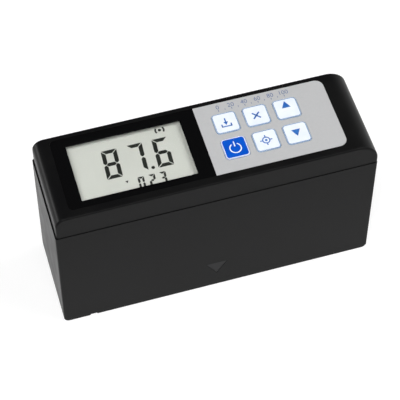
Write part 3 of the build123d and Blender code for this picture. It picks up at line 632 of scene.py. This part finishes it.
def add_piece(piece, body):
    """Finishes a new piece: puts its place into its mesh and attaches it to the body that it moves with."""
    settle(piece)
    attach(piece, body)


def write_display():
    """The lit segments lie on the glass, slanted a little to the right."""
    glass_low, glass_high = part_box("lcd_glass")
    depth = ink_depth
    figures = []
    groups = ((reading, digit_start, digit_pitch, digit_width, digit_height, digit_stroke),
              (small_reading, small_start, small_pitch, small_width, small_height, small_stroke))
    for text, (x, y), pitch, width, height, stroke in groups:
        slant = Matrix.Identity(4)
        slant[0][1] = digit_slant
        for index, character in enumerate(text):
            figure = digit(character, "figure", width, height, stroke, depth)
            place_mesh(figure, Matrix.Translation((x + index * pitch, y, glass_high.z)) @ slant)
            figures.append(figure)
    point = plate("point", point_radius, depth)
    figures.append(place_mesh(point, Matrix.Translation((*point_centre, glass_high.z))))
    beep_dot = plate("beep_dot", beep_dot_radius, depth)
    figures.append(place_mesh(beep_dot, Matrix.Translation((*beep_centre, glass_high.z))))
    arc = band("beep_arc", beep_arc_radius, beep_arc_stroke, depth,
               keep=lambda centre: abs(centre.x) > 0.62 * beep_arc_radius)
    figures.append(place_mesh(arc, Matrix.Translation((*beep_centre, glass_high.z))))
    marker = plate("marker", marker_radius, depth, sides=3, turn=math.pi)
    figures.append(place_mesh(marker, Matrix.Translation((*marker_centre, glass_high.z))))
    segments = joined(figures, "display_segments")
    face_outwards(segments)
    trim_front(segments, glass_low.y + small_stroke)
    dress(segments, "segment")
    add_piece(segments, "meter")


def lowered_key(name, ink):
    """A copy of a key whose face is a layer of ink lower, with its rounded edge inked, for the solid."""
    twin = copy_of(nodes[name], name + "_cap", Matrix.Identity(4))
    twin.parent = None
    for key in list(twin.keys()):
        del twin[key]
    face_outwards(twin)
    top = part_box(name)[1].z
    pick(twin, "VERT", lambda co: co.z > top - ink_depth / 2)
    bpy.ops.transform.translate(value=(0, 0, -ink_depth))
    bpy.ops.object.mode_set(mode="OBJECT")
    dress(twin, "key_blue" if name == "power_key" else "key_white")
    twin.data.materials.append(finishes[ink])
    for face in twin.data.polygons:
        face.material_index = int(top - key_edge < face.center.z < top - 1.2 * ink_depth)
    return twin


def tray_and_arrow():
    """Store: an arrow that goes down into a tray."""
    upright = Matrix.Rotation(quarter_turn, 4, "Z")
    stem = place_mesh(bar("stem", stem_length, sign_stroke, ink_depth),
                      Matrix.Translation((0, stem_y, 0)) @ upright)
    head = place_mesh(plate("head", arrow_head_radius, ink_depth, 3, math.pi),
                      Matrix.Translation((0, arrow_head_y, 0)))
    floor = place_mesh(bar("floor", tray_width, sign_stroke, ink_depth),
                       Matrix.Translation((0, tray_floor_y, 0)))
    sides = [place_mesh(bar("side", tray_wall_height, sign_stroke, ink_depth),
                        Matrix.Translation((side * tray_wall_x, tray_wall_y, 0)) @ upright)
             for side in (-1, 1)]
    return [stem, head, floor, *sides]


def cross():
    """Clear: two crossed bars."""
    return [place_mesh(bar("bar", cross_length, cross_stroke, ink_depth),
                       Matrix.Rotation(side * quarter_turn / 2, 4, "Z"))
            for side in (-1, 1)]


def target():
    """Calibrate: a ring round a dot, with four short lines."""
    ring = band("ring", target_radius, target_stroke, ink_depth)
    dot = plate("dot", target_dot_radius, ink_depth)
    lines = [place_mesh(bar("line", target_line_length, target_stroke, ink_depth),
                        Matrix.Rotation(turn * quarter_turn, 4, "Z")
                        @ Matrix.Translation((target_line_x, 0, 0)))
             for turn in range(4)]
    return [ring, dot, *lines]


def triangle(turn):
    """Up or down: a filled triangle."""
    return [place_mesh(plate("triangle", triangle_radius, ink_depth, 3, turn),
                       Matrix.Diagonal((1.0, triangle_stretch, 1, 1)))]


def power_sign():
    """Power: a ring with a gap at the top and a bar in the gap."""
    ring = band("ring", power_radius, target_stroke, ink_depth,
                keep=lambda centre: centre.y < 0 or abs(centre.x) > power_gap)
    line = place_mesh(bar("line", power_line_length, power_line_stroke, ink_depth),
                      Matrix.Translation((0, power_line_y, 0)) @ Matrix.Rotation(quarter_turn, 4, "Z"))
    return [ring, line]


def key_signs():
    """What is drawn on each key, the ink it is drawn in, and how far it lies from the key's centre."""
    return {
        "store_key": (tray_and_arrow(), "ink_blue", 0),
        "clear_key": (cross(), "ink_blue", 0),
        "up_key": (triangle(0.0), "ink_blue", up_triangle_y),
        "power_key": (power_sign(), "ink_white", power_sign_y),
        "calibrate_key": (target(), "ink_blue", 0),
        "down_key": (triangle(math.pi), "ink_blue", down_triangle_y),
    }


def print_keys():
    for name, (sign, ink, shift) in key_signs().items():
        low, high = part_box(name)
        middle = (low + high) / 2
        body = name.replace("_key", "_button")
        power = name == "power_key"
        outline_ink = "ink_white" if power else "ink_outline"
        cap = lowered_key(name, outline_ink)
        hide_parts(name)
        add_piece(cap, body)
        face = Matrix.Translation((middle.x, middle.y, high.z - ink_depth))
        width = (power_rim_width if power else outline_width) - key_edge
        outline = square_outline(name + "_outline", key_size - 2 * key_edge, key_radius - key_edge,
                                 width, ink_depth)
        place_mesh(outline, face)
        dress(outline, outline_ink)
        add_piece(outline, body)
        drawing = joined(sign, name + "_sign")
        place_mesh(drawing, face @ Matrix.Translation((0, shift, 0)))
        dress(drawing, ink)
        add_piece(drawing, body)


def number_text(value, size, depth):
    """A plain number in the built-in face, as a thin closed mesh centred on the origin."""
    clear_selection()
    bpy.ops.object.text_add()
    text = bpy.context.active_object
    text.data.body = str(value)
    text.data.size = size
    text.data.align_x = "CENTER"
    text.data.extrude = depth / 2
    bpy.ops.object.convert(target="MESH")
    piece = bpy.context.active_object
    return place_mesh(piece, Matrix.Translation((0, 0, depth / 2)))


def print_scale():
    """A plain scale from 0 to 100 on the silver print, over the keys."""
    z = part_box("front_overlay")[1].z
    span = scale_right - scale_left
    pieces = []
    for step in range(scale_steps + 1):
        x = scale_left + span * step / scale_steps
        length = long_tick if step % 2 == 0 else short_tick
        tick = bar("tick", length, tick_width, ink_depth)
        pieces.append(place_mesh(tick, Matrix.Translation((x, scale_y - length / 2, z))
                                 @ Matrix.Rotation(quarter_turn, 4, "Z")))
    for index, value in enumerate(scale_numbers):
        x = scale_left + span * index / (len(scale_numbers) - 1)
        pieces.append(place_mesh(number_text(value, scale_text_size, ink_depth),
                                 Matrix.Translation((x, scale_y + text_lift, z))))
    scale = joined(pieces, "printed_scale")
    dress(scale, "ink_scale")
    add_piece(scale, "meter")


def make_camera():
    data = bpy.data.cameras.new("camera")
    data.sensor_width = sensor_width
    data.lens = focal_pixels / image_pixels * sensor_width
    camera = bpy.data.objects.new("camera", data)
    bpy.context.scene.collection.objects.link(camera)
    turn = (camera_aim - camera_place).to_track_quat("-Z", "Y").to_matrix().to_4x4()
    camera.matrix_world = Matrix.Translation(camera_place) @ turn
    bpy.context.scene.camera = camera


def make_floor():
    """White laminate table, lifted to white where it is seen, with the meter's shadow still on it. It has a
    hole under the meter and can't be seen from below, so that views from under the table show the base."""
    low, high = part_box("lower_case")
    floor = start("floor", bpy.ops.mesh.primitive_plane_add, size=floor_size)
    bpy.ops.object.mode_set(mode="EDIT")
    bpy.ops.mesh.select_all(action="SELECT")
    bpy.ops.mesh.inset(thickness=floor_size / 4)
    half = floor_size / 4
    bpy.ops.transform.resize(value=((high.x - end_margin) / half, (high.y - side_margin) / half, 1))
    bpy.ops.mesh.delete(type="FACE")
    bpy.ops.object.mode_set(mode="OBJECT")
    place_mesh(floor, Matrix.Translation((0, 0, floor_lift)))
    material, tree = new_material("white_laminate")
    place = add_node(tree, "ShaderNodeTexCoord")
    cloud = add_node(tree, "ShaderNodeTexNoise", {"Scale": 1 / (400 * MM)},
                     {"Vector": place.outputs["Object"]})
    tone = add_node(tree, "ShaderNodeMixRGB",
                    {"Color1": hex_colour("b4b4b4"), "Color2": hex_colour("bababa")},
                    {"Fac": cloud.outputs["Fac"]})
    plain = add_node(tree, "ShaderNodeBsdfDiffuse", links={"Color": tone.outputs[0]})
    path = add_node(tree, "ShaderNodeLightPath")
    mirrored = add_node(tree, "ShaderNodeMath", {"operation": "MAXIMUM"},
                        {0: path.outputs["Is Glossy Ray"], 1: path.outputs["Is Transmission Ray"]})
    seen = add_node(tree, "ShaderNodeMath", {"operation": "MAXIMUM"},
                    {0: path.outputs["Is Camera Ray"], 1: mirrored.outputs[0]})
    level = add_node(tree, "ShaderNodeMath", {"operation": "MULTIPLY", 1: floor_glow}, {0: seen.outputs[0]})
    glow = add_node(tree, "ShaderNodeEmission", {"Color": hex_colour("ffffff")},
                    {"Strength": level.outputs[0]})
    both = add_node(tree, "ShaderNodeAddShader", links={0: plain.outputs[0], 1: glow.outputs[0]})
    side = add_node(tree, "ShaderNodeNewGeometry")
    clear = add_node(tree, "ShaderNodeBsdfTransparent")
    one_sided = add_node(tree, "ShaderNodeMixShader",
                         links={0: side.outputs["Backfacing"], 1: both.outputs[0], 2: clear.outputs[0]})
    add_node(tree, "ShaderNodeOutputMaterial", links={"Surface": one_sided.outputs[0]})
    floor.data.materials.append(material)


def make_light(name, place, size, power):
    data = bpy.data.lights.new(name, "AREA")
    data.shape = "DISK"
    data.size = size
    data.energy = power
    light = bpy.data.objects.new(name, data)
    bpy.context.scene.collection.objects.link(light)
    light.location = place
    light.rotation_euler = (-Vector(place)).to_track_quat("-Z", "Y").to_euler()
    light.visible_camera = False


def make_world():
    """A dim studio. Its walls are white where they are seen or mirrored, under a dark ceiling."""
    world = bpy.data.worlds.new("studio")
    bpy.context.scene.world = world
    world.use_nodes = True
    tree = world.node_tree
    tree.nodes.clear()
    direction = add_node(tree, "ShaderNodeTexCoord")
    axes = add_node(tree, "ShaderNodeSeparateXYZ", links={"Vector": direction.outputs["Generated"]})
    wall = add_node(tree, "ShaderNodeMapRange", {"From Min": dark_ceiling[0], "From Max": dark_ceiling[1],
                                                 "To Min": 1.0, "To Max": 0.0}, {"Value": axes.outputs["Z"]})
    path = add_node(tree, "ShaderNodeLightPath")
    mirrored = add_node(tree, "ShaderNodeMath", {"operation": "MAXIMUM"},
                        {0: path.outputs["Is Glossy Ray"], 1: path.outputs["Is Transmission Ray"]})
    wall_mirrored = add_node(tree, "ShaderNodeMath", {"operation": "MULTIPLY"},
                             {0: mirrored.outputs[0], 1: wall.outputs[0]})
    seen = add_node(tree, "ShaderNodeMath", {"operation": "MAXIMUM"},
                    {0: path.outputs["Is Camera Ray"], 1: wall_mirrored.outputs[0]})
    level = add_node(tree, "ShaderNodeMapRange", {"To Min": world_level, "To Max": 1.0},
                     {"Value": seen.outputs[0]})
    background = add_node(tree, "ShaderNodeBackground", {"Color": hex_colour("ffffff")},
                          {"Strength": level.outputs[0]})
    add_node(tree, "ShaderNodeOutputWorld", links={"Surface": background.outputs[0]})


bpy.context.scene.view_settings.view_transform = "Standard"
make_camera()
make_world()
make_floor()
for lamp, values in lamps.items():
    make_light(lamp, **values)
dress_nodes()
write_display()
print_keys()
print_scale()
